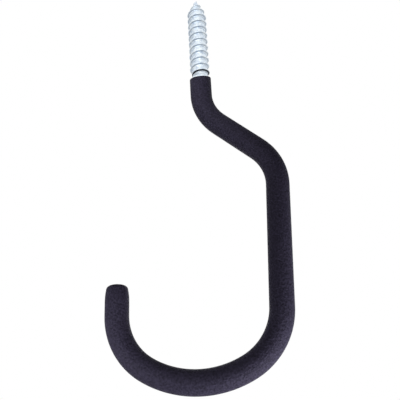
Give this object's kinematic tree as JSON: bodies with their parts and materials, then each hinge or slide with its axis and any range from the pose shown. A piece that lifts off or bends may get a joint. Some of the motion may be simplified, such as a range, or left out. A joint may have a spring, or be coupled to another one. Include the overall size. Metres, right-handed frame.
{
  "type": "tool hook",
  "caption": "Screw-in tool hook: a bent steel rod with an offset shank and a deep round hook, wood-screw thread on top, dipped in black vinyl.",
  "frame": {"origin": "on the screw's axis, at the top edge of the coating", "axes": "+Z along the screw towards its point, +X towards the shank, the hook's plane is XZ"},
  "size_m": [0.0672, 0.0084, 0.1606],
  "materials": {
    "zinc_steel": "bright zinc plate",
    "black_vinyl": "matte dipped vinyl"
  },
  "bodies": {
    "root": {"steel_rod": "zinc_steel", "vinyl_coating": "black_vinyl"}
  },
  "joints": []
}
